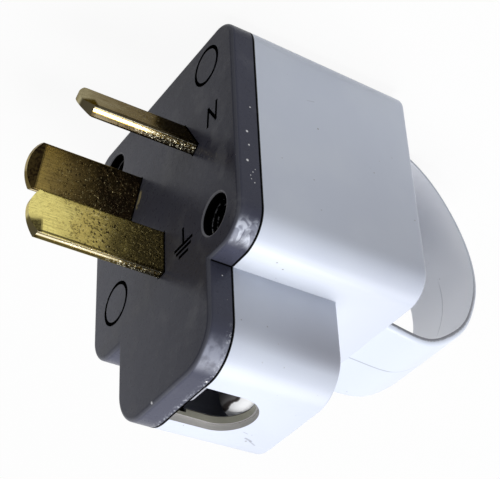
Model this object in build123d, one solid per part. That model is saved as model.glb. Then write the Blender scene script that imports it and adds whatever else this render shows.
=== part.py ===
from build123d import *
import math
import os

# Body outline
BLOCK_HALF_WIDTH = 20.7
FOOT_DROP = 20.5
SHOULDER_RISE = 19.5
LOBE_HALF_WIDTH = 12.6
LOBE_RISE = 34.5
FOOT_CORNER = 4.0
SHOULDER_CORNER = 5.0
LOBE_CORNER = 6.5

# Body depths, measured rearward from the contact face
SEAM = 3.9
SPIGOT_DEPTH = 2.5
BLOCK_REAR = 32.4
LOBE_REAR = 21.65
WALL = 1.6
DRAFT = 1.0
FACE_ROUND = 0.7
BLOCK_REAR_ROUND = 0.5
CAVITY_REAR_ROUND = 1.2
LOBE_REAR_ROUND = 0.4

# Fit between the base and the shell
SPIGOT_GAP = 0.15
SPIGOT_WALL = 1.5

# Blades
BLADE_WIDTH = 7.3
BLADE_THICKNESS = 2.0
BLADE_EDGE_ROUND = 0.4
BLADE_TIP_BULGE = 1.5
BLADE_BEVEL_LENGTH = 1.9
BLADE_BEVEL_DEPTH = 0.5
LIVE_BLADE_LENGTH = 18.25
EARTH_BLADE_LENGTH = 21.3
PIN_CIRCLE_RADIUS = 9.5
PIN_SPREAD = 60.0
PIN_SLANT = 30.0
EARTH_PIN_RISE = 10.9
SLOT_GAP = 0.1
FLANGE_WIDTH = 9.8
FLANGE_THICKNESS = 3.4
FLANGE_DEPTH = 2.2
TAIL_WIDTH = 6.2
TAIL_REACH = 12.5
TAIL_CORNER = 1.0

# Terminals
TERMINAL_INSET = 4.1
TERMINAL_THREAD_RADIUS = 1.6
TERMINAL_HEAD_RADIUS = 3.0
TERMINAL_HEAD_HEIGHT = 2.2
TERMINAL_SCREW_REACH = 5.2
WIRE_PLATE_SIDE = 6.4
WIRE_PLATE_THICKNESS = 1.0
SCREW_GAP = 0.1

# Pin retainer, its edges and screws measured from the pins' centres
RETAINER_THICKNESS = 1.6
RETAINER_SIDE_REACH = 4.3
RETAINER_FOOT_REACH = 5.75
RETAINER_WAIST_REACH = 5.25
RETAINER_TOP_REACH = 6.9
RETAINER_TOP_HALF_WIDTH = 4.6
RETAINER_CORNER = 2.0
RETAINER_SCREW_OFFSETS = {"upper": 6.35, "lower": -2.65}

# Small screws of the retainer and of the cord clamp
SMALL_SHANK_RADIUS = 1.25
SMALL_HEAD_RADIUS = 2.4
SMALL_HEAD_HEIGHT = 1.8
SMALL_POST_RADIUS = 2.6
SMALL_HOLE_FLOOR = 1.6
SMALL_SCREW_END_GAP = 0.6
SLOT_WIDTH = 0.8
SLOT_DEPTH = 0.9

# Assembly screws, each measured in from the side and from the shoulder or the foot
SHOULDER_SCREW_INSET = (6.3, 6.5)
FOOT_SCREW_INSET = (5.7, 5.2)
RECESS_RADIUS = 3.0
RECESS_FLOOR = 5.2
RECESS_FLOOR_THICKNESS = 2.0
RECESS_LIP = 0.3
PILLAR_RADIUS = 4.4
ASSEMBLY_SHANK_RADIUS = 1.65
ASSEMBLY_HEAD_RADIUS = 2.7
ASSEMBLY_HEAD_HEIGHT = 2.2
ASSEMBLY_SCREW_PAST_NUT = 3.6
ASSEMBLY_END_GAP = 0.8
NUT_ACROSS_FLATS = 6.0
NUT_THICKNESS = 2.4
NUT_GAP = 0.1
NUT_SLACK = 0.2

# Cord notch in the lobe
NOTCH_HALF_WIDTH = 4.85
NOTCH_END = 14.8
NOTCH_STEP = 0.35
NOTCH_STEP_DEPTH = 1.1
NOTCH_COLLAR_DEPTH = 2.3
NOTCH_COLLAR_WALL = 1.2
RAMP_INSET = 0.55
RAMP_HEIGHT = 6.0
RAMP_ROUND = 3.2
RAMP_OVERHANG = 2.8
SADDLE_HALF_WIDTH = 2.5
SADDLE_DEPTH = 3.0
SADDLE_INSET = 2.3
SADDLE_HEIGHT = 7.2
SADDLE_ROUND = 1.2

# Cord clamp
CLAMP_DROP = 12.9
CLAMP_HEIGHT = 4.8
CLAMP_POST_HEIGHT = 5.1
CLAMP_THICKNESS = 2.0
CLAMP_ARCH_RISE = 1.8
CLAMP_ARCH_HALF_WIDTH = 3.6
CLAMP_ARCH_WALL = 1.0
CLAMP_HEAD_GAP = 0.2
CLAMP_SCREW_END_GAP = 3.0

# Pull loop's inner line, as depth behind the block with distance in from the shoulder or the foot
LOOP_UPPER_LINE = [
    (-1.9, 2.25), (1.6, 2.15), (5.0, 1.9), (8.8, 2.15), (13.2, 4.5), (17.1, 8.0), (19.9, 12.9),
]
LOOP_LOWER_LINE = [
    (21.3, 21.7), (20.6, 15.7), (17.9, 9.7), (13.9, 4.8), (9.1, 2.0), (4.2, 1.8), (-1.9, 1.9),
]
LOOP_THICKNESS = 1.0
LOOP_ROOT_HALF_WIDTH = 10.1
LOOP_END_HALF_WIDTH = 7.6
LOOP_ROOT_DEPTH = 1.4
LOOP_REACH = 23.6
LOOP_OUTER_ROUND = 0.8

# Marks sunk in the contact face
MARK_DEPTH = 0.35
MARK_STROKE = 0.55
LETTER_HEIGHT = 3.0
LETTER_WIDTH = 2.2
LETTER_LEAN = 0.35
LETTER_OFFSET = (6.5, -0.25)
EARTH_MARK_OFFSET = (-6.2, -0.6)
EARTH_STEM = 2.3
EARTH_BARS = [(4.5, 2.6), (3.6, 3.4), (2.1, 4.3)]

# Plain sunk rings: in from the side, in from the foot or the shoulder, radius
FOOT_RING = (7.1, 5.1, 3.35)
SHOULDER_RING = (7.1, 8.2, 3.6)
RING_WIDTH = 0.6


# Depths that follow from the sizes above
SPIGOT_END = SEAM + SPIGOT_DEPTH
TAIL_END = SEAM + TAIL_REACH
TERMINAL_DEPTH = TAIL_END - TERMINAL_INSET
RETAINER_SEAT = SEAM + FLANGE_DEPTH
CLAMP_SEAT = SEAM + CLAMP_POST_HEIGHT
PILLAR_MEET = RECESS_FLOOR + RECESS_FLOOR_THICKNESS
NUT_FLOOR = PILLAR_MEET + NUT_THICKNESS + NUT_SLACK
ASSEMBLY_SCREW_END = NUT_FLOOR + ASSEMBLY_SCREW_PAST_NUT
ASSEMBLY_HOLE_END = ASSEMBLY_SCREW_END + ASSEMBLY_END_GAP

# Places across the plug that follow from the sizes above
LIVE_PIN_SIDE = PIN_CIRCLE_RADIUS * math.sin(math.radians(PIN_SPREAD))
LIVE_PIN_RISE = -PIN_CIRCLE_RADIUS * math.cos(math.radians(PIN_SPREAD))
RETAINER_SCREW_RISES = {name: LIVE_PIN_RISE + offset for name, offset in RETAINER_SCREW_OFFSETS.items()}
CLAMP_RISE = LOBE_RISE - CLAMP_DROP
CLAMP_ARCH_OUTSIDE = CLAMP_ARCH_HALF_WIDTH + CLAMP_ARCH_WALL
CLAMP_SPREAD = CLAMP_ARCH_OUTSIDE + CLAMP_HEAD_GAP + SMALL_HEAD_RADIUS
ASSEMBLY_SPOTS = {
    "shoulder": (SHOULDER_SCREW_INSET[0] - BLOCK_HALF_WIDTH, SHOULDER_RISE - SHOULDER_SCREW_INSET[1]),
    "foot": (BLOCK_HALF_WIDTH - FOOT_SCREW_INSET[0], FOOT_SCREW_INSET[1] - FOOT_DROP),
}


def front_plane(depth):
    """Plane across the plug at a depth, with its normal pointing rearward."""
    return Plane(origin=(0, depth, 0), x_dir=(-1, 0, 0), z_dir=(0, 1, 0))


def spot(x, rise):
    """Place on a front_plane for a point given by its x and its height."""
    return Pos(-x, rise)


def prism(outline, start, end, taper=0.0):
    """Outline carried rearward from one depth to another."""
    return extrude(front_plane(start) * outline, amount=end - start, taper=taper)


def rod(x, rise, radius, start, end):
    """Round bar along the depth."""
    return prism(spot(x, rise) * Circle(radius), start, end)


def block_outline(inset):
    """Wide lower part of the body's outline."""
    width = 2 * (BLOCK_HALF_WIDTH - inset)
    height = FOOT_DROP + SHOULDER_RISE - 2 * inset
    face = Pos(0, (SHOULDER_RISE - FOOT_DROP) / 2) * Rectangle(width, height)
    face = fillet(face.vertices().group_by(Axis.Y)[0], FOOT_CORNER - inset)
    return fillet(face.vertices().group_by(Axis.Y)[-1], SHOULDER_CORNER - inset)


def lobe_outline(inset):
    """Narrow upper part of the body's outline."""
    height = LOBE_RISE - inset
    face = Pos(0, height / 2) * Rectangle(2 * (LOBE_HALF_WIDTH - inset), height)
    return fillet(face.vertices().group_by(Axis.Y)[-1], LOBE_CORNER - inset)


def body_outline(inset):
    """Whole outline of the body, moved inward by an inset."""
    return block_outline(inset) + lobe_outline(inset)


# Places of the three pins: x, height, turn about the depth axis
def pin_places():
    return {
        "line": Pos(LIVE_PIN_SIDE, 0, LIVE_PIN_RISE) * Rot(0, PIN_SLANT, 0),
        "neutral": Pos(-LIVE_PIN_SIDE, 0, LIVE_PIN_RISE) * Rot(0, 180 - PIN_SLANT, 0),
        "earth": Pos(0, 0, EARTH_PIN_RISE),
    }


# Pins
def blade(length):
    """Flat blade that stands forward from the contact face, width along Z."""
    half = BLADE_WIDTH / 2
    shoulder = -length + BLADE_TIP_BULGE
    back = SEAM
    outline = Polyline((shoulder, half), (back, half), (back, -half), (shoulder, -half))
    tip = ThreePointArc((shoulder, -half), (-length, 0), (shoulder, half))
    body = extrude(Plane.YZ * make_face([outline, tip]), amount=BLADE_THICKNESS / 2, both=True)
    return fillet(body.edges().filter_by(Axis.Y), BLADE_EDGE_ROUND) & bevelled_sides(length)


def bevelled_sides(length):
    """Space between the blade's wide sides, narrowed by a flat bevel on each side of the tip."""
    side = BLADE_THICKNESS / 2
    start = -length + BLADE_BEVEL_LENGTH
    end = side - BLADE_BEVEL_DEPTH
    plan = Polyline((-side, SEAM), (-side, start), (-end, -length), (end, -length), (side, start),
                    (side, SEAM), close=True)
    return extrude(make_face(plan), amount=BLADE_WIDTH, both=True)


def pin(length):
    """Blade with its shoulder and its terminal tail."""
    flange = Pos(0, SEAM + FLANGE_DEPTH / 2, 0) * Box(FLANGE_THICKNESS, FLANGE_DEPTH, FLANGE_WIDTH)
    tail_length = TAIL_END - RETAINER_SEAT
    tail = Pos(0, RETAINER_SEAT + tail_length / 2, 0) * Box(BLADE_THICKNESS, tail_length, TAIL_WIDTH)
    tail = fillet(tail.edges().filter_by(Axis.X).group_by(Axis.Y)[-1], TAIL_CORNER)
    thread = Pos(0, TERMINAL_DEPTH, 0) * Rot(0, 90, 0)
    hole = thread * Cylinder(TERMINAL_THREAD_RADIUS + SCREW_GAP, 2 * BLADE_THICKNESS)
    return blade(length) + flange + tail - hole


def pins():
    lengths = {"line": LIVE_BLADE_LENGTH, "neutral": LIVE_BLADE_LENGTH, "earth": EARTH_BLADE_LENGTH}
    return {f"pin_{name}": place * pin(lengths[name]) for name, place in pin_places().items()}


# Screws
def slotted_screw(head_radius, head_height, shank_radius, reach):
    """Screw with its head above the origin and its shank below, axis along Z."""
    head = Pos(0, 0, head_height / 2) * Cylinder(head_radius, head_height)
    head = fillet(head.edges().group_by(Axis.Z)[-1], head_height / 4)
    shank = Pos(0, 0, -reach / 2) * Cylinder(shank_radius, reach)
    shank = chamfer(shank.edges().group_by(Axis.Z)[0], shank_radius / 4)
    slot = Pos(0, 0, head_height - SLOT_DEPTH / 2) * Box(3 * head_radius, SLOT_WIDTH, SLOT_DEPTH)
    return head + shank - slot


def rear_facing(x, depth, rise):
    """Place that turns a screw's head to the rear."""
    return Pos(x, depth, rise) * Rot(-90, 0, 0)


def small_screw(x, seat, rise, end):
    screw = slotted_screw(SMALL_HEAD_RADIUS, SMALL_HEAD_HEIGHT, SMALL_SHANK_RADIUS, seat - end)
    return rear_facing(x, seat, rise) * screw


def terminal_screws():
    shift = BLADE_THICKNESS / 2 + WIRE_PLATE_THICKNESS
    screw = slotted_screw(TERMINAL_HEAD_RADIUS, TERMINAL_HEAD_HEIGHT, TERMINAL_THREAD_RADIUS,
                          TERMINAL_SCREW_REACH)
    seated = Pos(shift, TERMINAL_DEPTH, 0) * Rot(0, 90, 0) * screw
    return {f"terminal_screw_{name}": place * seated for name, place in pin_places().items()}


def terminal_plates():
    shift = (BLADE_THICKNESS + WIRE_PLATE_THICKNESS) / 2
    plate = Pos(shift, TERMINAL_DEPTH, 0) * Box(WIRE_PLATE_THICKNESS, WIRE_PLATE_SIDE, WIRE_PLATE_SIDE)
    hole = Pos(shift, TERMINAL_DEPTH, 0) * Rot(0, 90, 0)
    plate = plate - hole * Cylinder(TERMINAL_THREAD_RADIUS + SCREW_GAP, 2 * WIRE_PLATE_THICKNESS)
    return {f"terminal_plate_{name}": place * plate for name, place in pin_places().items()}


def assembly_screw(x, rise):
    """Cross-slotted screw whose head faces forward from the floor of its recess."""
    reach = ASSEMBLY_SCREW_END - RECESS_FLOOR
    screw = slotted_screw(ASSEMBLY_HEAD_RADIUS, ASSEMBLY_HEAD_HEIGHT, ASSEMBLY_SHANK_RADIUS, reach)
    cross = Pos(0, 0, ASSEMBLY_HEAD_HEIGHT - SLOT_DEPTH / 2)
    screw = screw - cross * Box(SLOT_WIDTH, 3 * ASSEMBLY_HEAD_RADIUS, SLOT_DEPTH)
    return Pos(x, RECESS_FLOOR, rise) * Rot(90, 0, 0) * Rot(0, 0, 30) * screw


def assembly_nut(x, rise):
    """Hexagon nut on the floor of its pocket in the shell's pillar."""
    flats = spot(x, rise) * RegularPolygon(NUT_ACROSS_FLATS / 2, 6, major_radius=False)
    body = prism(flats, NUT_FLOOR - NUT_THICKNESS, NUT_FLOOR)
    return body - rod(x, rise, ASSEMBLY_SHANK_RADIUS + SCREW_GAP, PILLAR_MEET, NUT_FLOOR)


# Pin retainer
def retainer():
    """Board across the pins' shoulders, with a window for each tail."""
    side = LIVE_PIN_SIDE + RETAINER_SIDE_REACH
    foot = LIVE_PIN_RISE - RETAINER_FOOT_REACH
    waist = LIVE_PIN_RISE + RETAINER_WAIST_REACH
    top = EARTH_PIN_RISE + RETAINER_TOP_REACH
    outline = Polyline(
        (side, foot), (side, waist), (RETAINER_TOP_HALF_WIDTH, top), (-RETAINER_TOP_HALF_WIDTH, top),
        (-side, waist), (-side, foot), close=True)
    face = make_face(outline)
    face = fillet(face.vertices(), RETAINER_CORNER)
    plate = prism(face, RETAINER_SEAT, RETAINER_SEAT + RETAINER_THICKNESS)
    window = Pos(0, RETAINER_SEAT, 0) * Box(BLADE_THICKNESS + 2 * SLOT_GAP, 4 * RETAINER_THICKNESS,
                                            TAIL_WIDTH + 2 * SLOT_GAP)
    for place in pin_places().values():
        plate = plate - place * window
    for rise in RETAINER_SCREW_RISES.values():
        plate = plate - rod(0, rise, SMALL_SHANK_RADIUS + SCREW_GAP, SEAM, TAIL_END)
    return plate


def retainer_screws():
    seat = RETAINER_SEAT + RETAINER_THICKNESS
    end = SMALL_HOLE_FLOOR + SMALL_SCREW_END_GAP
    return {f"retainer_screw_{name}": small_screw(0, seat, rise, end)
            for name, rise in RETAINER_SCREW_RISES.items()}


# Cord clamp
def clamp_xs():
    return {"left": -CLAMP_SPREAD, "right": CLAMP_SPREAD}


def cord_clamp():
    """Bridge with a raised middle that bears on the cord."""
    top = CLAMP_SEAT + CLAMP_THICKNESS
    end = CLAMP_SPREAD + SMALL_HEAD_RADIUS
    outline = Polyline(
        (-end, CLAMP_SEAT), (-CLAMP_ARCH_HALF_WIDTH, CLAMP_SEAT),
        (-CLAMP_ARCH_HALF_WIDTH, CLAMP_SEAT + CLAMP_ARCH_RISE),
        (CLAMP_ARCH_HALF_WIDTH, CLAMP_SEAT + CLAMP_ARCH_RISE), (CLAMP_ARCH_HALF_WIDTH, CLAMP_SEAT),
        (end, CLAMP_SEAT), (end, top), (CLAMP_ARCH_OUTSIDE, top),
        (CLAMP_ARCH_OUTSIDE, top + CLAMP_ARCH_RISE), (-CLAMP_ARCH_OUTSIDE, top + CLAMP_ARCH_RISE),
        (-CLAMP_ARCH_OUTSIDE, top), (-end, top), close=True)
    bar = extrude(Plane.XY.offset(CLAMP_RISE) * make_face(outline), amount=CLAMP_HEIGHT / 2, both=True)
    for x in clamp_xs().values():
        bar = bar - rod(x, CLAMP_RISE, SMALL_SHANK_RADIUS + SCREW_GAP, SEAM, top + CLAMP_ARCH_RISE)
    return bar


def clamp_screws():
    seat = CLAMP_SEAT + CLAMP_THICKNESS
    end = SMALL_HOLE_FLOOR + CLAMP_SCREW_END_GAP
    return {f"clamp_screw_{name}": small_screw(x, seat, CLAMP_RISE, end)
            for name, x in clamp_xs().items()}


# Marks on the contact face, drawn as strokes that are cut into it
def stroke(start, end):
    """One straight stroke between two points given as x and height."""
    dx = end[0] - start[0]
    dz = end[1] - start[1]
    turn = math.degrees(math.atan2(dz, dx))
    middle = ((start[0] + end[0]) / 2, (start[1] + end[1]) / 2)
    bar = Box(math.hypot(dx, dz) + MARK_STROKE, 2 * MARK_DEPTH, MARK_STROKE)
    return Pos(middle[0], 0, middle[1]) * Rot(0, -turn, 0) * bar


def letter_strokes(points, x, rise):
    """Strokes of a letter that reads upright with the earth pin below."""
    placed = []
    for across, up in points:
        lean = LETTER_LEAN * (up - 0.5)
        placed.append((x - (across - 0.5) * LETTER_WIDTH - lean, rise - (up - 0.5) * LETTER_HEIGHT))
    return [stroke(a, b) for a, b in zip(placed, placed[1:])]


def marks():
    side = LIVE_PIN_SIDE + LETTER_OFFSET[0]
    level = LIVE_PIN_RISE + LETTER_OFFSET[1]
    neutral = letter_strokes([(0, 0), (0, 1), (1, 0), (1, 1)], -side, level)
    line = letter_strokes([(0, 1), (0, 0), (1, 0)], side, level)
    x = EARTH_MARK_OFFSET[0]
    rise = EARTH_PIN_RISE + EARTH_MARK_OFFSET[1]
    earth = [stroke((x, rise), (x, rise + EARTH_STEM))]
    for length, step in EARTH_BARS:
        earth.append(stroke((x - length / 2, rise + step), (x + length / 2, rise + step)))
    return neutral + line + earth


def rings():
    places = [
        (FOOT_RING[0] - BLOCK_HALF_WIDTH, FOOT_RING[1] - FOOT_DROP, FOOT_RING[2]),
        (BLOCK_HALF_WIDTH - SHOULDER_RING[0], SHOULDER_RISE - SHOULDER_RING[1], SHOULDER_RING[2]),
    ]
    return [rod(x, rise, radius, 0, MARK_DEPTH) - rod(x, rise, radius - RING_WIDTH, 0, MARK_DEPTH)
            for x, rise, radius in places]


# Front base
def base_body():
    """Face plate with the spigot that enters the shell, open under the cord notch."""
    plate = prism(body_outline(0), 0, SEAM)
    plate = fillet(plate.faces().sort_by(Axis.Y)[0].edges(), FACE_ROUND)
    outer = prism(body_outline(WALL + SPIGOT_GAP), SEAM, SPIGOT_END)
    hollow = prism(body_outline(WALL + SPIGOT_GAP + SPIGOT_WALL), SEAM, SPIGOT_END)
    depth = SPIGOT_END - SEAM
    mouth = Pos(0, SEAM + depth / 2, LOBE_RISE) * Box(2 * NOTCH_HALF_WIDTH, depth, LOBE_CORNER)
    return plate + (outer - hollow - mouth)


def base_posts():
    """Pillars of the assembly screws, posts of the small screws and the cord saddle."""
    limit = prism(body_outline(WALL + SPIGOT_GAP), SEAM, PILLAR_MEET)
    solids = []
    for x, rise in ASSEMBLY_SPOTS.values():
        solids.append(rod(x, rise, PILLAR_RADIUS, SEAM, PILLAR_MEET) & limit)
    for rise in RETAINER_SCREW_RISES.values():
        solids.append(rod(0, rise, SMALL_POST_RADIUS, SEAM, RETAINER_SEAT))
    for x in clamp_xs().values():
        solids.append(rod(x, CLAMP_RISE, SMALL_POST_RADIUS, SEAM, CLAMP_SEAT))
    return solids


def cord_saddle():
    """Rounded rib that stands behind the lobe's face, in front of the cord."""
    middle = LOBE_RISE - SADDLE_INSET - SADDLE_HEIGHT / 2
    rib = Box(2 * SADDLE_HALF_WIDTH, SADDLE_DEPTH, SADDLE_HEIGHT)
    rib = Pos(0, SEAM + SADDLE_DEPTH / 2, middle) * rib
    return fillet(rib.edges().group_by(Axis.Y)[-1], SADDLE_ROUND)


def base_cuts():
    cuts = []
    slot = Box(BLADE_THICKNESS + 2 * SLOT_GAP, 3 * SEAM, BLADE_WIDTH + 2 * SLOT_GAP)
    for place in pin_places().values():
        cuts.append(place * slot)
    for x, rise in ASSEMBLY_SPOTS.values():
        cuts.append(rod(x, rise, RECESS_RADIUS, 0, RECESS_FLOOR))
        cuts.append(rod(x, rise, ASSEMBLY_SHANK_RADIUS + 2 * SCREW_GAP, 0, PILLAR_MEET))
    hole_radius = SMALL_SHANK_RADIUS + SCREW_GAP
    for rise in RETAINER_SCREW_RISES.values():
        cuts.append(rod(0, rise, hole_radius, SMALL_HOLE_FLOOR, CLAMP_SEAT))
    for x in clamp_xs().values():
        cuts.append(rod(x, CLAMP_RISE, hole_radius, SMALL_HOLE_FLOOR, CLAMP_SEAT))
    return cuts


def front_base():
    body = base_body() + base_posts() + cord_saddle() - base_cuts()
    rims = body.faces().sort_by(Axis.Y)[0].edges().filter_by(GeomType.CIRCLE)
    rims = rims.filter_by(lambda e: abs(e.radius - RECESS_RADIUS) < 0.01)
    return chamfer(rims, RECESS_LIP) - marks() - rings()


# Rear shell
def block_form(inset, rear_round):
    """Wide part of the shell with its drafted sides and rounded rear edge, moved inward."""
    block = prism(block_outline(inset), SEAM, BLOCK_REAR - inset, DRAFT)
    return fillet(block.faces().sort_by(Axis.Y)[-1].edges(), rear_round)


def shell_outside():
    lobe = prism(lobe_outline(0), SEAM, LOBE_REAR, DRAFT)
    lobe = fillet(lobe.faces().sort_by(Axis.Y)[-1].edges(), LOBE_REAR_ROUND)
    return block_form(0, BLOCK_REAR_ROUND) + lobe


def shell_cavity():
    lobe = prism(lobe_outline(WALL), SEAM, LOBE_REAR - WALL, DRAFT)
    return block_form(WALL, CAVITY_REAR_ROUND) + lobe


def loop_band():
    """Flat band of the pull loop, wider at its roots than at its end."""
    points = [(BLOCK_REAR + reach, SHOULDER_RISE - inward) for reach, inward in LOOP_UPPER_LINE]
    points += [(BLOCK_REAR + reach, inward - FOOT_DROP) for reach, inward in LOOP_LOWER_LINE]
    inner = Spline(*points)
    outer_points = []
    count = len(points)
    for step in range(count):
        place = inner @ (step / (count - 1))
        heading = inner % (step / (count - 1))
        outer_points.append((place.X - heading.Y * LOOP_THICKNESS, place.Y + heading.X * LOOP_THICKNESS))
    outer = Spline(*outer_points)
    ends = [Line(inner @ 0, outer @ 0), Line(inner @ 1, outer @ 1)]
    reach = LOOP_ROOT_HALF_WIDTH + 1
    side = Plane.YZ.offset(-reach) * make_face([inner, outer] + ends)
    band = extrude(side, amount=2 * reach)
    root = BLOCK_REAR - LOOP_ROOT_DEPTH
    end = BLOCK_REAR + LOOP_REACH
    plan = make_face(Polyline(
        (-LOOP_ROOT_HALF_WIDTH, 0), (-LOOP_ROOT_HALF_WIDTH, root), (-LOOP_END_HALF_WIDTH, end),
        (LOOP_END_HALF_WIDTH, end), (LOOP_ROOT_HALF_WIDTH, root), (LOOP_ROOT_HALF_WIDTH, 0), close=True))
    return band & extrude(plan, amount=FOOT_DROP + SHOULDER_RISE, both=True)


def round_loop(band):
    """Rounds the two long edges of the loop's outer face."""
    outer = band.faces().sort_by(SortBy.AREA)[-1]
    return fillet(outer.edges().sort_by(SortBy.LENGTH)[-2:], LOOP_OUTER_ROUND)


def shell_pillars():
    """Round pillars of the assembly screws, each joined to its corner by a square block."""
    limit = block_form(WALL / 2, CAVITY_REAR_ROUND)
    solids = []
    for x, rise in ASSEMBLY_SPOTS.values():
        shift = PILLAR_RADIUS / 2
        corner = spot(x + math.copysign(shift, x), rise + math.copysign(shift, rise))
        block = corner * Rectangle(4 * shift, 4 * shift)
        solids.append((rod(x, rise, PILLAR_RADIUS, PILLAR_MEET, BLOCK_REAR)
                       + prism(block, PILLAR_MEET, BLOCK_REAR)) & limit)
    return solids


def pillar_cuts():
    cuts = []
    for x, rise in ASSEMBLY_SPOTS.values():
        pocket = RegularPolygon(NUT_ACROSS_FLATS / 2 + NUT_GAP, 6, major_radius=False)
        cuts.append(prism(spot(x, rise) * pocket, PILLAR_MEET, NUT_FLOOR))
        cuts.append(rod(x, rise, ASSEMBLY_SHANK_RADIUS + SCREW_GAP, NUT_FLOOR, ASSEMBLY_HOLE_END))
    return cuts


def notch_slot(half_width, start, bottom, top):
    """Upright slot with a round rear end."""
    centre = NOTCH_END - NOTCH_HALF_WIDTH
    mouth = Pos(0, (start + centre) / 2, 0) * Rectangle(2 * half_width, centre - start)
    outline = mouth + Pos(0, centre, 0) * Circle(half_width)
    outline = outline & Pos(0, start + NOTCH_END, 0) * Rectangle(4 * half_width, 2 * NOTCH_END)
    return extrude(Plane.XY.offset(bottom) * outline, amount=top - bottom)


def notch_collar():
    roof = LOBE_RISE - WALL / 2
    collar = notch_slot(NOTCH_HALF_WIDTH + NOTCH_COLLAR_WALL, SPIGOT_END + SPIGOT_GAP,
                        LOBE_RISE - NOTCH_COLLAR_DEPTH, roof)
    return collar


def cord_ramp():
    """Rounded shoulder under the notch that the cord bends round."""
    rear = LOBE_REAR - WALL / 2
    top = LOBE_RISE - NOTCH_COLLAR_DEPTH
    front = NOTCH_END - RAMP_OVERHANG
    width = 2 * (NOTCH_HALF_WIDTH - RAMP_INSET)
    block = Pos(0, (front + rear) / 2, top - RAMP_HEIGHT / 2) * Box(width, rear - front, RAMP_HEIGHT)
    edge = block.edges().filter_by(Axis.X).group_by(Axis.Y)[0].sort_by(Axis.Z)[-1]
    block = fillet(edge, RAMP_ROUND)
    web = Pos(0, (NOTCH_END + rear) / 2, top) * Box(width, rear - NOTCH_END, 2 * WALL)
    return block + web


def notch_cuts():
    step_top = LOBE_RISE - NOTCH_STEP_DEPTH
    wide = notch_slot(NOTCH_HALF_WIDTH, SEAM - 1, step_top, LOBE_RISE + 1)
    narrow = notch_slot(NOTCH_HALF_WIDTH - NOTCH_STEP, SEAM - 1, LOBE_RISE - NOTCH_COLLAR_DEPTH, LOBE_RISE)
    return [wide, narrow]


def rear_shell():
    body = shell_outside() + round_loop(loop_band()) - shell_cavity()
    body = body + shell_pillars() + notch_collar() + cord_ramp()
    return body - pillar_cuts() - notch_cuts()


def nodes():
    made = {"front_base": front_base(), "rear_shell": rear_shell()}
    made.update(pins())
    made.update(terminal_screws())
    made.update(terminal_plates())
    made["pin_retainer"] = retainer()
    made.update(retainer_screws())
    for name, (x, rise) in ASSEMBLY_SPOTS.items():
        made[f"assembly_screw_{name}"] = assembly_screw(x, rise)
        made[f"assembly_nut_{name}"] = assembly_nut(x, rise)
    made["cord_clamp"] = cord_clamp()
    made.update(clamp_screws())
    return made


os.makedirs("parts", exist_ok=True)
for name, shape in nodes().items():
    export_step(shape, f"parts/{name}.step")
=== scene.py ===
import math

import bpy
from mathutils import Matrix, Vector

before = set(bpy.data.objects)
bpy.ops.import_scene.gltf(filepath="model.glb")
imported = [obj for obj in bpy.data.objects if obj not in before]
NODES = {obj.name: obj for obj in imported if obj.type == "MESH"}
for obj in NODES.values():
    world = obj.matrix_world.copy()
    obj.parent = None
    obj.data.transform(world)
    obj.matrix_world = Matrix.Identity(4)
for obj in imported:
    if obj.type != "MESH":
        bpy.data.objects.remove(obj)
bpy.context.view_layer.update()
MM = 0.001

# Part sizes in millimetres, as in the CAD source
SEAM = 3.9
FOOT_DROP = 20.5
LOBE_RISE = 34.5
BLOCK_REAR = 32.4
LOBE_HALF_WIDTH = 12.6
SHOULDER_RISE = 19.5
NOTCH_HALF_WIDTH = 4.85
NOTCH_END = 14.8
NOTCH_STEP_DEPTH = 1.1
NOTCH_COLLAR_DEPTH = 2.3
RAMP_OVERHANG = 2.8
SADDLE_HALF_WIDTH = 2.5
LIVE_PIN_PLACE = (8.227, -4.75)
PIN_SLANT = math.radians(30.0)
EARTH_PIN_RISE = 10.9
LIVE_BLADE_LENGTH = 18.25
EARTH_BLADE_LENGTH = 21.3
TIP_DEPTH = 1.9
RECESS_RADIUS = 3.0
RING_WIDTH = 0.6
ASSEMBLY_SPOTS = {"shoulder": (-14.4, 13.0), "foot": (15.0, -15.3)}

# Heights and depths that follow from them
STEP_FLOOR = LOBE_RISE - NOTCH_STEP_DEPTH
COLLAR_FLOOR = LOBE_RISE - NOTCH_COLLAR_DEPTH
RAMP_FRONT = NOTCH_END - RAMP_OVERHANG

# Limits of the looks: a little outside the recess wall, below the saddle and the ramp, inside the loop
RECESS_EDGE = RECESS_RADIUS + 0.12
SADDLE_FROM = 24.0
RAMP_FROM = 25.0
LOOP_MIDDLE = (0.0, 43.0, 0.0)

# Sunk marks of the face: x and z of the middle, then half sizes or the outer radius
MARK_ZONES = [(-14.7, -5.0, 2.0, 2.2), (14.7, -5.0, 2.0, 2.2), (-6.2, 12.4, 2.8, 2.8)]
RING_SPOTS = [(-13.6, -15.4, 3.35), (13.6, 11.3, 3.6)]

# Curved glints painted as highlights on the walls of the screw recesses: first depth, last depth, softness
RECESS_ARCS = [(1.55, 1.70, 0.05), (2.25, 2.50, 0.06)]

# Camera at the photograph's viewing angle
CAMERA_PLACE = Vector((-144.89, -84.12, 133.18)) * MM
CAMERA_RIGHT = Vector((-0.54224749, 0.83927447, 0.03982484))
CAMERA_UP = Vector((-0.5190977, -0.29736037, -0.8013204))
CAMERA_FORWARD = Vector((0.66068543, 0.45518696, -0.59690836))
CAMERA_LENS = 103.18
CAMERA_SENSOR = 36.0
CAMERA_NEAR = 0.005

# Floor, surroundings and light, in metres and watts
FLOOR_HALF_SIZE = 3.0
FLOOR_GREY = 0.62
FLOOR_GLOW = 0.93
WORLD_LIGHT = 0.29
WORLD_SEEN = 1.0
KEY_PLACE = (0.0, 0.14, 0.56)
KEY_AIM = (0.0, 0.02, 0.0)
KEY_SIZE = (0.34, 0.44)
KEY_POWER = 4.15
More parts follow.
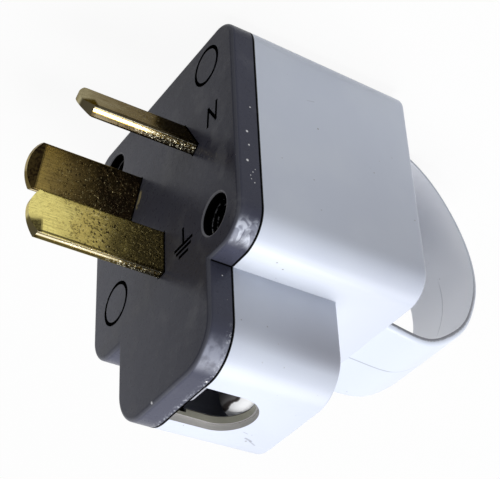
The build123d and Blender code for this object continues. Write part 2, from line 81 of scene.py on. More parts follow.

# Colours of the dark base
# FACE_DARK to FACE_PALE is painted shade across the face, darker on the camera's side
FACE_DARK = (0.014, 0.015, 0.030)
FACE_PALE = (0.098, 0.102, 0.130)
FACE_CLOUD = (0.105, 0.107, 0.122)
FACE_STAIN = (0.02, 0.02, 0.02)
RIM = (0.070, 0.074, 0.108)
# Painted highlights on the rim: where it turns upward, in streaks, and along the front edge
RIM_PAINTED_HIGHLIGHT = (0.33, 0.35, 0.43)
RIM_HIGHLIGHT_STREAK = (0.66, 0.70, 0.80)
RIM_EDGE_HIGHLIGHT = (0.16, 0.165, 0.19)
DUST = (0.45, 0.44, 0.42)
WHITE_SPECK = (0.80, 0.80, 0.82)
MOULD_FLASH = (0.42, 0.44, 0.50)
# Painted reflection of the line blade on the base face
PAINTED_BRASS_GLINT = (0.62, 0.52, 0.26)
# Painted shade in the sunk marks, rings, recesses and crease, and the dark seam
SHADE_AND_SEAM_BLACK = (0.002, 0.002, 0.002)
RECESS_PAINTED_GLINT = (0.45, 0.46, 0.50)
RECESS_LIP_HIGHLIGHT = (0.22, 0.22, 0.24)
SADDLE_PAINTED_LIGHT = (0.46, 0.47, 0.53)

# Colours of the white shell
SHELL_COOL = (0.65, 0.705, 0.825)
SHELL_PALE = (0.68, 0.735, 0.845)
SHELL_SHOULDER_LIGHT = (0.74, 0.79, 0.88)
SHELL_SHADE = (0.315, 0.325, 0.390)
# Painted shade on the loop's outer side and flat edge, painted light on its inner side
LOOP_OUTSIDE_SHADE = (0.59, 0.635, 0.735)
LOOP_INSIDE_LIGHT_LOW = (0.74, 0.75, 0.79)
LOOP_INSIDE_LIGHT_HIGH = (0.97, 0.97, 0.98)
LOOP_EDGE_SHADE = (0.17, 0.17, 0.19)
FINE_SPECK = (0.26, 0.25, 0.24)
DARK_SPECK = (0.16, 0.14, 0.12)
SCRATCH = (0.12, 0.12, 0.14)
PARTING = (0.22, 0.23, 0.26)
SHELL_SEAM = (0.004, 0.004, 0.004)

# Colours of the cord notch
NOTCH_LOW_WALL = (0.62, 0.61, 0.50)
# Painted light on the upper wall and the ramp's back, painted shade on the lines, ledge and the ramp's front
NOTCH_HIGH_WALL_LIGHT = (0.90, 0.88, 0.85)
NOTCH_SHADE_LINE = (0.05, 0.04, 0.03)
NOTCH_LEDGE_SHADE = (0.24, 0.22, 0.20)
BOWL_FRONT_SHADE = (0.17, 0.165, 0.165)
BOWL_BACK_LIGHT = (0.95, 0.96, 0.98)
BOWL_SHADE_LINE = (0.03, 0.022, 0.02)

# Colours shared by the three brass blades
BRASS_PIT = (0.018, 0.012, 0.006)
BRASS_GRAIN = (0.80, 0.70, 0.36)
# Painted shade on the tip's bevel and the line where it starts
BRASS_BEVEL_SHADE = (0.010, 0.006, 0.003)
BRASS_BEVEL_LINE_SHADE = (0.012, 0.008, 0.004)
BRASS_TIP_END = (0.42, 0.38, 0.24)
# Painted shade on the blade's corners and narrow sides, and painted highlights along them
BRASS_CORNER_SHADE = (0.020, 0.014, 0.006)
BRASS_NARROW_SHADE = (0.025, 0.017, 0.008)
BRASS_AMBER_HIGHLIGHT = (0.42, 0.28, 0.06)
BRASS_PAINTED_HIGHLIGHT = (1.0, 0.94, 0.70)
# Painted shade at the blade's root
BRASS_ROOT_SHADE = (0.006, 0.005, 0.004)

# White specks on the base's rim: place and radius
RIM_SPECKS = [
    ((-20.7, 2.57, -2.8), 0.12), ((-20.7, 1.85, 2.0), 0.18), ((-20.7, 2.06, 4.4), 0.14),
    ((-20.7, 1.68, 7.3), 0.19), ((-20.7, 2.49, 9.1), 0.09), ((-20.7, 2.1, 9.8), 0.08),
    ((-20.7, 2.7, 10.9), 0.09), ((2.8, 0.1, 34.0), 0.2), ((-12.6, 2.2, 21.5), 0.1),
    ((-10.9, 3.2, 32.0), 0.13), ((-9.0, 3.4, 33.6), 0.14), ((-6.2, 3.3, 34.5), 0.15),
    ((-20.7, 2.9, 8.5), 0.07), ((-20.7, 2.2, 10.4), 0.07),
]

# Dark specks on the shell: place and radius
SHELL_SPECKS = [
    ((-12.5, 4.99, 27.74), 0.12), ((-12.4, 8.92, 27.21), 0.09), ((-12.4, 9.23, 27.43), 0.14),
    ((-20.5, 14.58, -4.15), 0.13), ((-20.3, 24.48, -0.07), 0.10), ((-20.5, 13.04, 6.06), 0.10),
    ((-20.6, 7.64, 4.37), 0.08), ((-16.3, 8.75, 19.4), 0.12), ((-15.4, 10.3, 19.4), 0.13),
    ((-18.9, 17.2, 18.9), 0.09), ((-19.5, 16.4, 18.4), 0.09), ((5.3, 16.9, 34.4), 0.20),
    ((3.4, 16.7, 34.4), 0.14), ((-7.5, 42.0, 16.5), 0.15),
]

# Scratches and scuffs of the shell: start, end, half width, darkness
SHELL_SCRATCHES = [
    ((-14.27, 22.0, 19.5), (-14.35, 23.2, 19.5), 0.10, 0.55),
    ((4.6, 16.4, 34.3), (5.0, 17.6, 34.3), 0.16, 0.5),
    ((5.1, 17.4, 34.3), (5.8, 18.7, 34.3), 0.13, 0.4),
    ((3.2, 15.2, 34.3), (3.4, 16.0, 34.3), 0.07, 0.4),
    ((-20.5, 13.0, -9.0), (-20.5, 14.3, -9.3), 0.06, 0.3),
    ((-20.3, 22.9, -1.0), (-20.3, 24.0, -0.6), 0.05, 0.3),
]

# The blades: x and z of the centre, turn about the length, tones from tip to root, and wear.
# side is the sign of the wide side that the camera sees. The tip's dark bevel grows along the
# width in the direction tip_turn, from tip_from on.
# The tip to root tones are partly brass colour and partly painted reflection: light where a blade reflects the
# lit surroundings, dark near the root where it reflects the dark base, and darker on the blades turned away
# from the light.
BLADES = {
    "earth": {
        "centre": (0.0, EARTH_PIN_RISE), "turn": 0.0, "side": -1, "length": EARTH_BLADE_LENGTH,
        "tip": (0.88, 0.77, 0.26), "middle": (0.46, 0.37, 0.110), "root": (0.25, 0.195, 0.072),
        "pitting": 0.95, "edge_tint": (0.9, 0.8, 0.5),
        "tip_darkness": 0.95, "tip_turn": 1, "tip_from": 0.9,
    },
    "line": {
        "centre": LIVE_PIN_PLACE, "turn": PIN_SLANT, "side": -1, "length": LIVE_BLADE_LENGTH,
        "tip": (0.27, 0.195, 0.055), "middle": (0.13, 0.092, 0.032), "root": (0.055, 0.036, 0.020),
        "pitting": 0.85, "edge_tint": (0.8, 0.7, 0.5),
        "tip_darkness": 1.0, "tip_turn": 1, "tip_from": -6.0,
    },
    "neutral": {
        "centre": (-LIVE_PIN_PLACE[0], LIVE_PIN_PLACE[1]), "turn": math.pi - PIN_SLANT, "side": 1,
        "length": LIVE_BLADE_LENGTH,
        "tip": (0.50, 0.46, 0.31), "middle": (0.215, 0.18, 0.11), "root": (0.035, 0.027, 0.018),
        "pitting": 0.5, "edge_tint": (0.42, 0.38, 0.32),
        "tip_darkness": 0.9, "tip_turn": -1, "tip_from": 0.6,
    },
}


def make_camera():
    camera = bpy.data.objects.new("camera", bpy.data.cameras.new("camera"))
    bpy.context.scene.collection.objects.link(camera)
    turn = Matrix((CAMERA_RIGHT, CAMERA_UP, -CAMERA_FORWARD)).transposed()
    camera.matrix_world = Matrix.Translation(CAMERA_PLACE) @ turn.to_4x4()
    camera.data.sensor_width = CAMERA_SENSOR
    camera.data.lens = CAMERA_LENS
    camera.data.clip_start = CAMERA_NEAR
    bpy.context.scene.camera = camera


# Node building
class Shader:
    """A material whose nodes are made by short calls that return sockets."""

    def __init__(self, name):
        self.material = bpy.data.materials.new(name)
        self.material.use_nodes = True
        self.tree = self.material.node_tree
        self.tree.nodes.clear()
        self.output = self.tree.nodes.new("ShaderNodeOutputMaterial")
        self.shared = {}

    def node(self, kind, **settings):
        made = self.tree.nodes.new(kind)
        for key, value in settings.items():
            setattr(made, key, value)
        return made

    def feed(self, socket, value):
        if isinstance(value, bpy.types.NodeSocket):
            self.tree.links.new(value, socket)
        else:
            socket.default_value = value

    def math(self, operation, *values, clamp=False):
        made = self.node("ShaderNodeMath", operation=operation, use_clamp=clamp)
        for index, value in enumerate(values):
            self.feed(made.inputs[index], value)
        return made.outputs[0]

    def vector(self, operation, first, second):
        made = self.node("ShaderNodeVectorMath", operation=operation)
        self.feed(made.inputs[0], first)
        self.feed(made.inputs[1], second)
        return made.outputs["Value"] if operation in ("DISTANCE", "DOT_PRODUCT") else made.outputs[0]

    def scaled(self, vector, scale):
        made = self.node("ShaderNodeVectorMath", operation="SCALE")
        self.feed(made.inputs[0], vector)
        self.feed(made.inputs["Scale"], scale)
        return made.outputs[0]

    def split(self, vector):
        made = self.node("ShaderNodeSeparateXYZ")
        self.feed(made.inputs[0], vector)
        return made.outputs

    def place(self):
        """Position on the part in millimetres."""
        if "place" not in self.shared:
            coordinate = self.node("ShaderNodeTexCoord").outputs["Object"]
            self.shared["place"] = self.scaled(coordinate, 1.0 / MM)
        return self.shared["place"]

    def axis(self, name):
        """One part of the position, in millimetres."""
        if "axes" not in self.shared:
            self.shared["axes"] = self.split(self.place())
        return self.shared["axes"][name]

    def outward(self):
        """The surface's own normal, before any bump."""
        if "outward" not in self.shared:
            self.shared["outward"] = self.node("ShaderNodeNewGeometry").outputs["Normal"]
        return self.shared["outward"]

    def normal(self, name):
        """One part of the surface's own normal."""
        if "normal" not in self.shared:
            self.shared["normal"] = self.split(self.outward())
        return self.shared["normal"][name]

    def facing(self, direction):
        """How far the surface's own normal points along a direction."""
        return self.vector("DOT_PRODUCT", self.outward(), direction)

    def stretch(self, scale):
        return self.vector("MULTIPLY", self.place(), scale)

    def above(self, value, limit):
        return self.math("GREATER_THAN", value, limit)

    def below(self, value, limit):
        return self.math("LESS_THAN", value, limit)

    def size(self, value):
        """Value without its sign."""
        return self.math("ABSOLUTE", value)

    def flipped(self, value):
        return self.math("SUBTRACT", 1.0, value)

    def product(self, *values):
        result = values[0]
        for value in values[1:]:
            result = self.math("MULTIPLY", result, value)
        return result

    def most(self, *values):
        result = values[0]
        for value in values[1:]:
            result = self.math("MAXIMUM", result, value)
        return result

    def noise(self, scale, detail=2.0, roughness=0.5, where=None, distortion=0.0):
        made = self.node("ShaderNodeTexNoise")
        self.feed(made.inputs["Vector"], where if where is not None else self.place())
        made.inputs["Scale"].default_value = scale
        made.inputs["Detail"].default_value = detail
        made.inputs["Roughness"].default_value = roughness
        made.inputs["Distortion"].default_value = distortion
        return made.outputs["Fac"]

    def cells(self, scale):
        made = self.node("ShaderNodeTexVoronoi")
        self.feed(made.inputs["Vector"], self.place())
        made.inputs["Scale"].default_value = scale
        return made.outputs["Distance"]

    def ramp(self, value, low, high, start=0.0, end=1.0, smooth=True):
        """Value carried from low..high to start..end, held outside."""
        made = self.node("ShaderNodeMapRange")
        made.interpolation_type = "SMOOTHSTEP" if smooth else "LINEAR"
        self.feed(made.inputs["Value"], value)
        made.inputs["From Min"].default_value = low
        made.inputs["From Max"].default_value = high
        made.inputs["To Min"].default_value = start
        made.inputs["To Max"].default_value = end
        return made.outputs["Result"]

    def band(self, value, low, high, soft):
        """1 between low and high, with soft edges."""
        rise = self.ramp(value, low - soft, low + soft)
        fall = self.ramp(value, high - soft, high + soft, 1.0, 0.0)
        return self.product(rise, fall)

    def mix(self, factor, first, second):
        made = self.node("ShaderNodeMix", data_type="RGBA")
        self.feed(made.inputs["Factor"], factor)
        for socket, colour in ((made.inputs[6], first), (made.inputs[7], second)):
            self.feed(socket, colour if isinstance(colour, bpy.types.NodeSocket) else (*colour, 1.0))
        return made.outputs[2]

    def away(self, x, z):
        """Distance from a line along the depth, at x and z."""
        across = self.math("POWER", self.math("SUBTRACT", self.axis("X"), x), 2.0)
        up = self.math("POWER", self.math("SUBTRACT", self.axis("Z"), z), 2.0)
        return self.math("SQRT", self.math("ADD", across, up))

    def within(self, distance, radius, soft):
        """1 nearer than the radius, with a soft edge."""
        return self.ramp(distance, radius * (1 - soft), radius * (1 + soft), 1.0, 0.0)

    def spots(self, places):
        """1 inside each small ball given as a place and a radius."""
        balls = [self.within(self.vector("DISTANCE", self.place(), place), radius, 0.4)
                 for place, radius in places]
        return self.most(*balls)

    def stroke(self, start, end, width):
        """1 along a straight scratch between two points, width to each side."""
        run = Vector(end) - Vector(start)
        offset = self.vector("SUBTRACT", self.place(), start)
        along = self.vector("DOT_PRODUCT", offset, run)
        share = self.math("DIVIDE", along, run.length_squared, clamp=True)
        distance = self.vector("DISTANCE", offset, self.scaled(run, share))
        return self.within(distance, width, 0.5)

    def bump(self, height, strength, distance, under=None):
        made = self.node("ShaderNodeBump")
        made.inputs["Strength"].default_value = strength
        made.inputs["Distance"].default_value = distance * MM
        self.feed(made.inputs["Height"], height)
        if under is not None:
            self.feed(made.inputs["Normal"], under)
        return made.outputs[0]

    def surface(self, **inputs):
        shader = self.node("ShaderNodeBsdfPrincipled")
        for key, value in inputs.items():
            self.feed(shader.inputs[key.replace("_", " ")], value)
        self.feed(self.output.inputs[0], shader.outputs[0])
        return self.material


def dress(material, *names):
    for name in names:
        mesh = NODES[name].data
        mesh.materials.clear()
        mesh.materials.append(material)


# Dark base
def sunk_zones(s):
    """1 where the sunk marks, the rings and the screw recesses are."""
    zones = []
    for x, z, half_x, half_z in MARK_ZONES:
        across = s.size(s.math("SUBTRACT", s.axis("X"), x))
        up = s.size(s.math("SUBTRACT", s.axis("Z"), z))
        zones.append(s.product(s.below(across, half_x), s.below(up, half_z)))
    for x, z in ASSEMBLY_SPOTS.values():
        zones.append(s.below(s.away(x, z), RECESS_EDGE))
    for x, z, radius in RING_SPOTS:
        zones.append(s.band(s.away(x, z), radius - RING_WIDTH - 0.05, radius + 0.05, 0.03))
    return s.most(*zones)


def face_tones(s, clouds, fine):
    """Face colour with painted shade, darker on the camera's side, with clouds and fine stains."""
    painted_shade_fade = s.ramp(s.axis("X"), -22.0, 20.0, smooth=False)
    colour = s.mix(painted_shade_fade, FACE_DARK, FACE_PALE)
    colour = s.mix(s.ramp(clouds, 0.50, 0.68, 0.0, 0.50), colour, FACE_CLOUD)
    return s.mix(s.ramp(fine, 0.58, 0.75, 0.0, 0.30), colour, FACE_STAIN)


def rim_tones(s, colour, rim):
    """Rim of the base, with painted highlights: a glossy patch and streaks where it turns upward, and a light
    line along the front edge.
    """
    colour = s.mix(s.product(rim, 0.6), colour, RIM)
    turning = s.product(s.ramp(s.facing((-1, 0, 0)), 0.15, 0.55), s.ramp(s.normal("Z"), 0.35, 0.75))
    corner = s.product(rim, turning, s.ramp(s.noise(0.7, 3.0), 0.35, 0.6, 0.4, 1.0))
    colour = s.mix(s.product(corner, 0.75), colour, RIM_PAINTED_HIGHLIGHT)
    uneven = s.ramp(s.noise(0.55, distortion=1.5), 0.46, 0.60)
    highlight_streak = s.product(corner, s.below(s.axis("Z"), 22.0), uneven)
    colour = s.mix(s.product(highlight_streak, 0.75), colour, RIM_HIGHLIGHT_STREAK)
    sloping = s.band(s.size(s.normal("Y")), 0.45, 0.92, 0.08)
    painted_edge_line = s.product(sloping, s.below(s.axis("Y"), 0.75), 0.35)
    return s.mix(painted_edge_line, colour, RIM_EDGE_HIGHLIGHT)


def base_wear_and_glint(s, colour, rim):
    """Dust and specks, mould flash at the lobe's seam, and a painted reflection of the line blade: a glint on
    the face.
    """
    dust = s.product(s.ramp(s.cells(1.3), 0.05, 0.09, 1.0, 0.0), s.ramp(s.noise(0.35), 0.56, 0.66))
    colour = s.mix(s.product(dust, 0.55), colour, DUST)
    colour = s.mix(s.spots(RIM_SPECKS), colour, WHITE_SPECK)
    at_seam = s.product(s.ramp(s.axis("Z"), 28.0, 31.0), s.ramp(s.axis("Y"), 2.6, 3.5))
    flash = s.product(rim, at_seam, s.ramp(s.noise(2.6, 3.0, 0.7), 0.52, 0.62))
    colour = s.mix(s.product(flash, 0.7), colour, MOULD_FLASH)
    # Painted reflection of the line blade on the face beside its root
    painted_glint = s.stroke((6.05, 0.0, -4.95), (7.25, 0.0, -2.9), 0.42)
    return s.mix(s.product(painted_glint, s.ramp(s.noise(0.8), 0.35, 0.55), 0.7), colour, PAINTED_BRASS_GLINT)


def black_lines(s, rim):
    """1 where black is painted: painted shade in the sunk marks, rings and screw recesses and in the crease
    between shoulder and lobe, and the dark joint along the seam.
    """
    deep = s.product(s.ramp(s.axis("Y"), 0.004, 0.02), sunk_zones(s))
    seam = s.product(rim, s.ramp(s.axis("Y"), SEAM - 0.34, SEAM - 0.22))
    crease = s.stroke((-LOBE_HALF_WIDTH, 0.6, SHOULDER_RISE), (-LOBE_HALF_WIDTH, SEAM, SHOULDER_RISE), 0.16)
    return s.most(deep, seam, crease)


def recess_tones(s, colour):
    """Painted highlights: curved glints on the walls of the screw recesses, and light lips round them."""
    arcs = []
    lip_highlights = []
    for x, z in ASSEMBLY_SPOTS.values():
        reach = s.away(x, z)
        depths = s.most(*[s.band(s.axis("Y"), *arc) for arc in RECESS_ARCS])
        arcs.append(s.product(s.below(reach, RECESS_EDGE), depths))
        lip_highlights.append(s.product(s.band(reach, RECESS_EDGE, RECESS_EDGE + 0.3, 0.05), s.below(s.axis("Y"), 0.5)))
    broken = s.ramp(s.noise(0.9), 0.46, 0.56)
    colour = s.mix(s.product(s.most(*arcs), broken, 0.8), colour, RECESS_PAINTED_GLINT)
    return s.mix(s.product(s.most(*lip_highlights), 0.55), colour, RECESS_LIP_HIGHLIGHT)


def saddle_tones(s, colour):
    # Painted light: the saddle behind the seam, which lies in shade, is made pale grey
    behind = s.product(s.above(s.axis("Z"), SADDLE_FROM), s.above(s.axis("Y"), SEAM + 0.2))
    saddle = s.product(behind, s.below(s.size(s.axis("X")), SADDLE_HALF_WIDTH + 0.1))
    return s.mix(s.product(saddle, 0.8), colour, SADDLE_PAINTED_LIGHT)


def base_material():
    s = Shader("base_moulding")
    clouds = s.noise(0.16, 4.0, 0.6)
    fine = s.noise(1.1, 3.0, 0.6)
    rim = s.ramp(s.size(s.normal("Y")), 0.25, 0.75, 1.0, 0.0)
    colour = rim_tones(s, face_tones(s, clouds, fine), rim)
    colour = base_wear_and_glint(s, colour, rim)
    shade_and_seam_black = black_lines(s, rim)
    colour = s.mix(shade_and_seam_black, colour, SHADE_AND_SEAM_BLACK)
    colour = saddle_tones(s, recess_tones(s, colour))
    rough = s.ramp(fine, 0.3, 0.7, 0.26, 0.36)
    gloss = s.product(s.ramp(rim, 0.0, 1.0, 0.07, 0.14, smooth=False), s.flipped(shade_and_seam_black))
    dents = s.bump(clouds, 0.25, 0.3)
    grain = s.bump(s.noise(5.0, 3.0, 0.6), 0.2, 0.05, dents)
    return s.surface(Base_Color=colour, Roughness=rough, Specular_IOR_Level=gloss, Normal=grain)


# White shell
def shell_shade(s):
    """How far the shell's shaded sides are darkened, more towards the rear."""
    block = s.product(s.ramp(s.axis("Z"), -16.0, 15.0, 0.08, 0.40),
                      s.ramp(s.axis("Y"), 6.0, 30.0, 0.55, 1.0))
    on_lobe = s.product(s.above(s.axis("Z"), SHOULDER_RISE - 0.3), s.ramp(s.axis("Z"), 20.0, 29.0, 0.30, 0.80))
    off_top = s.ramp(s.normal("Z"), 0.20, 0.80, 1.0, 0.0)
    lobe = s.product(on_lobe, s.ramp(s.axis("Y"), 6.0, 20.0, 0.50, 1.0), off_top)
    return s.most(block, lobe)


def body_tones(s):
    colour = s.mix(s.ramp(s.noise(0.09, 3.0), 0.35, 0.65), SHELL_COOL, SHELL_PALE)
    # Painted light on the shoulder's top next to the lobe, where the lobe shades it
    level = s.band(s.axis("Z"), SHOULDER_RISE - 0.5, SHOULDER_RISE + 0.3, 0.1)
    shoulder = s.product(s.ramp(s.normal("Z"), 0.80, 0.98), level)
    colour = s.mix(shoulder, colour, SHELL_SHOULDER_LIGHT)
    return s.mix(shell_shade(s), colour, SHELL_SHADE)


def loop_inside(s):
    """1 on the inner side of the pull loop."""
    offset = s.vector("SUBTRACT", s.place(), LOOP_MIDDLE)
    inward = s.below(s.vector("DOT_PRODUCT", offset, s.outward()), -1.5)
    return s.product(inward, s.above(s.axis("Y"), BLOCK_REAR + 0.05))


def loop_tones(s, colour, inner):
    """Painted light and shade on the pull loop: a darker tone on its outer side, a lighter tone on its inner
    side that is paler still higher up, and painted shade along its flat edge.
    """
    on_loop = s.above(s.axis("Y"), BLOCK_REAR + 0.3)
    colour = s.mix(s.product(on_loop, s.flipped(inner)), colour, LOOP_OUTSIDE_SHADE)
    inside_light = s.mix(s.ramp(s.axis("Z"), -16.0, -3.0), LOOP_INSIDE_LIGHT_LOW, LOOP_INSIDE_LIGHT_HIGH)
    colour = s.mix(inner, colour, inside_light)
    edge = s.ramp(s.product(s.size(s.normal("X")), on_loop), 0.90, 0.98)
    line = s.product(edge, s.ramp(s.axis("Z"), -5.0, 12.0, 0.25, 0.85))
    return s.mix(line, colour, LOOP_EDGE_SHADE)


def notch_tones(s, colour):
    """Cord notch with painted light and shade: a pale upper wall lightened as if lit, a brownish lower wall,
    painted shade along the collar and on the ledge, and a glossy ramp painted pale at the back and shaded at
    its front.
    """
    between = s.below(s.size(s.axis("X")), NOTCH_HALF_WIDTH + 0.1)
    near = s.product(between, s.below(s.axis("Y"), NOTCH_END + 1.2))
    upright = s.ramp(s.size(s.normal("Z")), 0.3, 0.6, 1.0, 0.0)
    wall = s.product(near, upright, s.above(s.axis("Z"), COLLAR_FLOOR + 0.02))
    upper = s.ramp(s.axis("Z"), STEP_FLOOR - 0.02, STEP_FLOOR + 0.06, smooth=False)
    colour = s.mix(wall, colour, s.mix(upper, NOTCH_LOW_WALL, NOTCH_HIGH_WALL_LIGHT))
    line = s.product(wall, s.band(s.axis("Z"), COLLAR_FLOOR, COLLAR_FLOOR + 0.14, 0.03))
    colour = s.mix(line, colour, NOTCH_SHADE_LINE)
    in_height = s.product(s.below(s.axis("Z"), COLLAR_FLOOR + 0.01), s.above(s.axis("Z"), RAMP_FROM))
    ramp = s.product(near, in_height, s.above(s.axis("Y"), RAMP_FRONT - 0.1))
    depth = s.math("ADD", s.axis("Y"), s.ramp(s.noise(0.6), 0.3, 0.7, -0.12, 0.12))
    bowl = s.mix(s.ramp(depth, RAMP_FRONT + 0.66, RAMP_FRONT + 0.84), BOWL_FRONT_SHADE, BOWL_BACK_LIGHT)
    bowl_shade_line = s.band(depth, RAMP_FRONT + 0.42, RAMP_FRONT + 0.70, 0.08)
    colour = s.mix(ramp, colour, s.mix(s.product(bowl_shade_line, 0.9), bowl, BOWL_SHADE_LINE))
    level = s.band(s.axis("Z"), STEP_FLOOR - 0.1, STEP_FLOOR + 0.1, 0.02)
    ledge = s.product(near, s.ramp(s.normal("Z"), 0.5, 0.8), level)
    return s.mix(s.product(ledge, 0.8), colour, NOTCH_LEDGE_SHADE)


def fine_specks(s, colour):
    cells = s.ramp(s.cells(0.30), 0.025, 0.045, 1.0, 0.0)
    specks = s.product(cells, s.ramp(s.noise(0.2), 0.45, 0.6, 0.2, 0.7))
    return s.mix(specks, colour, FINE_SPECK)


def shell_wear(s, colour):
    colour = s.mix(s.product(s.spots(SHELL_SPECKS), 0.7), colour, DARK_SPECK)
    for start, end, width, darkness in SHELL_SCRATCHES:
        colour = s.mix(s.product(s.stroke(start, end, width), darkness), colour, SCRATCH)
    return colour


def parting_tones(s, colour, parting, inner):
    """Faint mould line round the loop, fainter still on the inner side."""
    faint = s.ramp(s.noise(0.12), 0.40, 0.55)
    inside = s.product(inner, s.band(s.axis("Z"), -2.5, 8.5, 1.5), 0.35)
    strength = s.math("ADD", inside, s.ramp(inner, 0.0, 1.0, 0.6, 0.0))
    return s.mix(s.product(parting, faint, strength), colour, PARTING)


def shell_material():
    s = Shader("shell_moulding")
    inner = loop_inside(s)
    colour = loop_tones(s, body_tones(s), inner)
    colour = notch_tones(s, fine_specks(s, colour))
    colour = shell_wear(s, colour)
    centre = s.ramp(s.size(s.axis("X")), 0.05, 0.16, 1.0, 0.0)
    parting = s.product(centre, s.above(s.axis("Y"), BLOCK_REAR + 0.1))
    colour = parting_tones(s, colour, parting, inner)
    colour = s.mix(s.ramp(s.axis("Y"), SEAM + 0.06, SEAM + 0.14, 1.0, 0.0), colour, SHELL_SEAM)
    groove = s.bump(parting, -0.3, 0.1)
    grain = s.bump(s.noise(1.6, 3.0), 0.05, 0.1, groove)
    return s.surface(Base_Color=colour, Roughness=0.36, Specular_IOR_Level=0.36, Normal=grain)


# Brass blades
def brass_tones(s, blade, patches, streaks):
    """Tones that run from tip to root in uneven patches, with darker streaks; the fall from light tip to dark
    root is partly painted reflection.
    """
    length = blade["length"]
    reach = s.math("ADD", s.axis("Y"), s.ramp(patches, 0.2, 0.8, -3.0, 3.0))
    colour = s.mix(s.ramp(reach, -length, -0.55 * length), blade["tip"], blade["middle"])
    colour = s.mix(s.ramp(reach, -0.55 * length, -1.5), colour, blade["root"])
    darker = tuple(0.35 * c for c in blade["middle"])
    return s.mix(s.ramp(streaks, 0.42, 0.70, 0.0, 0.45), colour, darker)


def brass_pits(s, blade, nearness):
    """1 in the holes and stains, which gather towards the root."""
    open_cells = s.ramp(s.cells(1.35), 0.20, 0.28, 1.0, 0.0)
    holes = s.product(open_cells, s.ramp(s.noise(0.6, 3.0), 0.40, 0.50), nearness)
    stains = s.product(s.ramp(s.noise(2.3, 4.0, 0.75), 0.56, 0.62), nearness)
    return s.product(s.most(holes, stains), blade["pitting"])


def tip_tones(s, colour, blade, offset, width):
    """Painted shade on the tip's bevel and along the line where it starts, and the tip's light end."""
    beyond = s.math("ADD", s.axis("Y"), blade["length"] - TIP_DEPTH)
    along = s.vector("DOT_PRODUCT", offset, width * blade["tip_turn"])
    slope = s.ramp(along, blade["tip_from"], blade["tip_from"] + 1.2, 0.12, 1.0)
    uneven = s.ramp(s.noise(2.2, 3.0), 0.35, 0.62, 1.0, 0.9)
    bevel = s.product(s.ramp(beyond, -0.10, 0.0, 1.0, 0.0), slope, blade["tip_darkness"], uneven)
    colour = s.mix(bevel, colour, BRASS_BEVEL_SHADE)
    painted_edge_line = s.product(s.band(beyond, -0.05, 0.16, 0.05), slope, 0.6)
    colour = s.mix(painted_edge_line, colour, BRASS_BEVEL_LINE_SHADE)
    outer = s.ramp(s.normal("Y"), -0.75, -0.45, 1.0, 0.0)
    return s.mix(s.product(outer, 0.7), colour, BRASS_TIP_END)


def narrow_side_lines(s, across, narrow):
    """1 in the painted highlights along a blade's narrow side, from its seen wide side outward."""
    speckle = s.ramp(s.noise(3.2, 3.0, 0.7), 0.50, 0.60)
    root = s.ramp(s.axis("Y"), -11.0, -5.0)
    worn = s.product(root, s.flipped(speckle))
    highlight_core = s.product(s.band(across, 0.02, 0.38, 0.04), s.flipped(worn))
    low = s.product(s.band(across, -0.70, 0.02, 0.05), speckle, root, 0.7)
    line = s.product(s.band(across, 0.58, 0.70, 0.04), 0.35)
    return s.product(narrow, s.most(highlight_core, low, line))


def narrow_side_tones(s, colour, across, width):
    # Painted shade on the blade's rounded corners and narrow side, then painted highlights in amber and pale
    # gold along it
    turned = s.size(s.facing(width))
    corner = s.band(turned, 0.22, 0.96, 0.08)
    colour = s.mix(s.product(corner, 0.85), colour, BRASS_CORNER_SHADE)
    narrow = s.ramp(turned, 0.85, 0.95)
    colour = s.mix(s.product(narrow, 0.9), colour, BRASS_NARROW_SHADE)
    toward_tip = s.ramp(s.axis("Y"), -9.0, -4.0, 1.0, 0.4)
    amber = s.product(narrow, s.band(across, -0.12, 0.50, 0.05), toward_tip)
    colour = s.mix(s.product(amber, 0.8), colour, BRASS_AMBER_HIGHLIGHT)
    return s.mix(narrow_side_lines(s, across, narrow), colour, BRASS_PAINTED_HIGHLIGHT)


def brass_material(name, blade):
    s = Shader(name)
    x, z = blade["centre"]
    turn = blade["turn"]
    seen = Vector((math.cos(turn), 0.0, -math.sin(turn))) * blade["side"]
    width = Vector((math.sin(turn), 0.0, math.cos(turn)))
    offset = s.vector("SUBTRACT", s.place(), (x, 0.0, z))
    patches = s.noise(0.30, 4.0, 0.6)
    streaks = s.noise(1.0, 4.0, 0.65, where=s.stretch((6.0, 0.30, 6.0)))
    nearness = s.ramp(s.axis("Y"), -0.85 * blade["length"], -0.40 * blade["length"], 0.12, 1.0)
    pits = brass_pits(s, blade, nearness)
    colour = s.mix(pits, brass_tones(s, blade, patches, streaks), BRASS_PIT)
    grains = s.ramp(s.noise(2.1, 3.0, 0.7, where=s.stretch((1.1, 1.1, 1.4))), 0.60, 0.65)
    colour = s.mix(s.product(grains, nearness, blade["pitting"], 0.6), colour, BRASS_GRAIN)
    colour = tip_tones(s, colour, blade, offset, width)
    colour = narrow_side_tones(s, colour, s.vector("DOT_PRODUCT", offset, seen), width)
    # Painted shade where the blade goes into the base
    colour = s.mix(s.ramp(s.axis("Y"), -0.35, -0.08), colour, BRASS_ROOT_SHADE)
    rough = s.ramp(patches, 0.3, 0.7, 0.28, 0.18)
    relief = s.bump(s.flipped(pits), 0.5, 0.08, s.bump(streaks, 0.12, 0.05))
    return s.surface(Base_Color=colour, Metallic=1.0, Roughness=rough,
                     Specular_Tint=(*blade["edge_tint"], 1.0), Normal=relief)


# Parts inside and screws
def worn_tone(s, wear, colour):
    return s.mix(s.ramp(wear, 0.3, 0.7), tuple(0.8 * c for c in colour), colour)


def plain_metal(name, colour, roughness):
    s = Shader(name)
    tone = worn_tone(s, s.noise(1.5, 3.0, 0.6), colour)
    return s.surface(Base_Color=tone, Metallic=1.0, Roughness=roughness)


def plain_moulding(name, colour, roughness):
    s = Shader(name)
    wear = s.noise(0.8, 3.0, 0.6)
    grain = s.bump(wear, 0.1, 0.1)
    return s.surface(Base_Color=worn_tone(s, wear, colour), Roughness=roughness, Normal=grain)


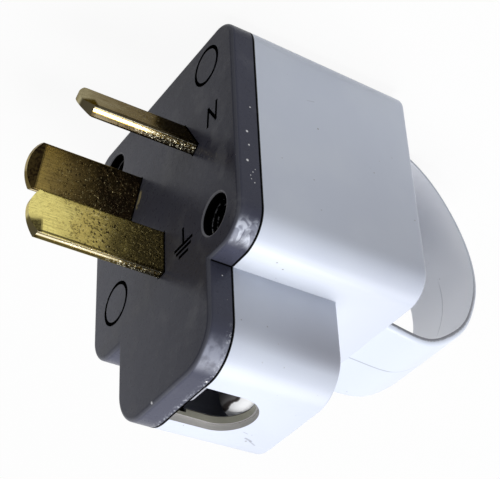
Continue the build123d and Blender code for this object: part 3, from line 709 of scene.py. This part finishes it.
def nodes_named(*starts):
    return [name for name in sorted(NODES) if name.startswith(starts)]


def dress_nodes():
    dress(base_material(), "front_base")
    dress(shell_material(), "rear_shell")
    for name, blade in BLADES.items():
        dress(brass_material(f"{name}_brass", blade), f"pin_{name}")
    dress(plain_metal("terminal_brass", (0.60, 0.48, 0.24), 0.35), *nodes_named("terminal_plate"))
    dress(plain_metal("screw_steel", (0.55, 0.55, 0.54), 0.3),
          *nodes_named("terminal_screw", "retainer_screw", "clamp_screw", "assembly_nut"))
    dress(plain_metal("screw_black", (0.035, 0.035, 0.035), 0.3), *nodes_named("assembly_screw"))
    dress(plain_moulding("retainer_board", (0.16, 0.10, 0.06), 0.6), "pin_retainer")
    dress(plain_moulding("clamp_moulding", (0.10, 0.10, 0.11), 0.45), "cord_clamp")


# Studio
def make_floor():
    mesh = bpy.data.meshes.new("floor")
    half = FLOOR_HALF_SIZE
    level = -FOOT_DROP * MM
    corners = [(-half, -half, level), (half, -half, level), (half, half, level), (-half, half, level)]
    mesh.from_pydata(corners, [], [(0, 1, 2, 3)])
    floor = bpy.data.objects.new("floor", mesh)
    bpy.context.scene.collection.objects.link(floor)
    s = Shader("floor")
    diffuse = s.node("ShaderNodeBsdfDiffuse")
    diffuse.inputs["Color"].default_value = (FLOOR_GREY, FLOOR_GREY, FLOOR_GREY, 1.0)
    glow = s.node("ShaderNodeEmission")
    glow.inputs["Color"].default_value = (1.0, 1.0, 1.0, 1.0)
    glow.inputs["Strength"].default_value = 1.0
    path = s.node("ShaderNodeLightPath").outputs
    seen = s.most(path["Is Camera Ray"], path["Is Glossy Ray"], path["Is Transmission Ray"])
    blend = s.node("ShaderNodeMixShader")
    s.feed(blend.inputs[0], s.product(seen, FLOOR_GLOW))
    s.feed(blend.inputs[1], diffuse.outputs[0])
    s.feed(blend.inputs[2], glow.outputs[0])
    s.feed(s.output.inputs[0], blend.outputs[0])
    mesh.materials.append(s.material)


def make_world():
    """Even surroundings that look white but give less light than they show."""
    world = bpy.data.worlds.new("world")
    bpy.context.scene.world = world
    world.use_nodes = True
    tree = world.node_tree
    background = tree.nodes["Background"]
    background.inputs["Color"].default_value = (1.0, 1.0, 1.0, 1.0)
    path = tree.nodes.new("ShaderNodeLightPath").outputs
    seen = path["Is Camera Ray"]
    for ray in ("Is Glossy Ray", "Is Transmission Ray"):
        either = tree.nodes.new("ShaderNodeMath")
        either.operation = "MAXIMUM"
        tree.links.new(seen, either.inputs[0])
        tree.links.new(path[ray], either.inputs[1])
        seen = either.outputs[0]
    level = tree.nodes.new("ShaderNodeMapRange")
    level.inputs["To Min"].default_value = WORLD_LIGHT
    level.inputs["To Max"].default_value = WORLD_SEEN
    tree.links.new(seen, level.inputs["Value"])
    tree.links.new(level.outputs[0], background.inputs["Strength"])


def make_key_light():
    data = bpy.data.lights.new("key", "AREA")
    data.shape = "RECTANGLE"
    data.size, data.size_y = KEY_SIZE
    data.energy = KEY_POWER
    light = bpy.data.objects.new("key", data)
    bpy.context.scene.collection.objects.link(light)
    turn = (Vector(KEY_AIM) - Vector(KEY_PLACE)).to_track_quat("-Z", "Y")
    light.matrix_world = Matrix.Translation(KEY_PLACE) @ turn.to_matrix().to_4x4()


bpy.context.scene.view_settings.view_transform = "Standard"
make_camera()
make_floor()
make_world()
make_key_light()
dress_nodes()
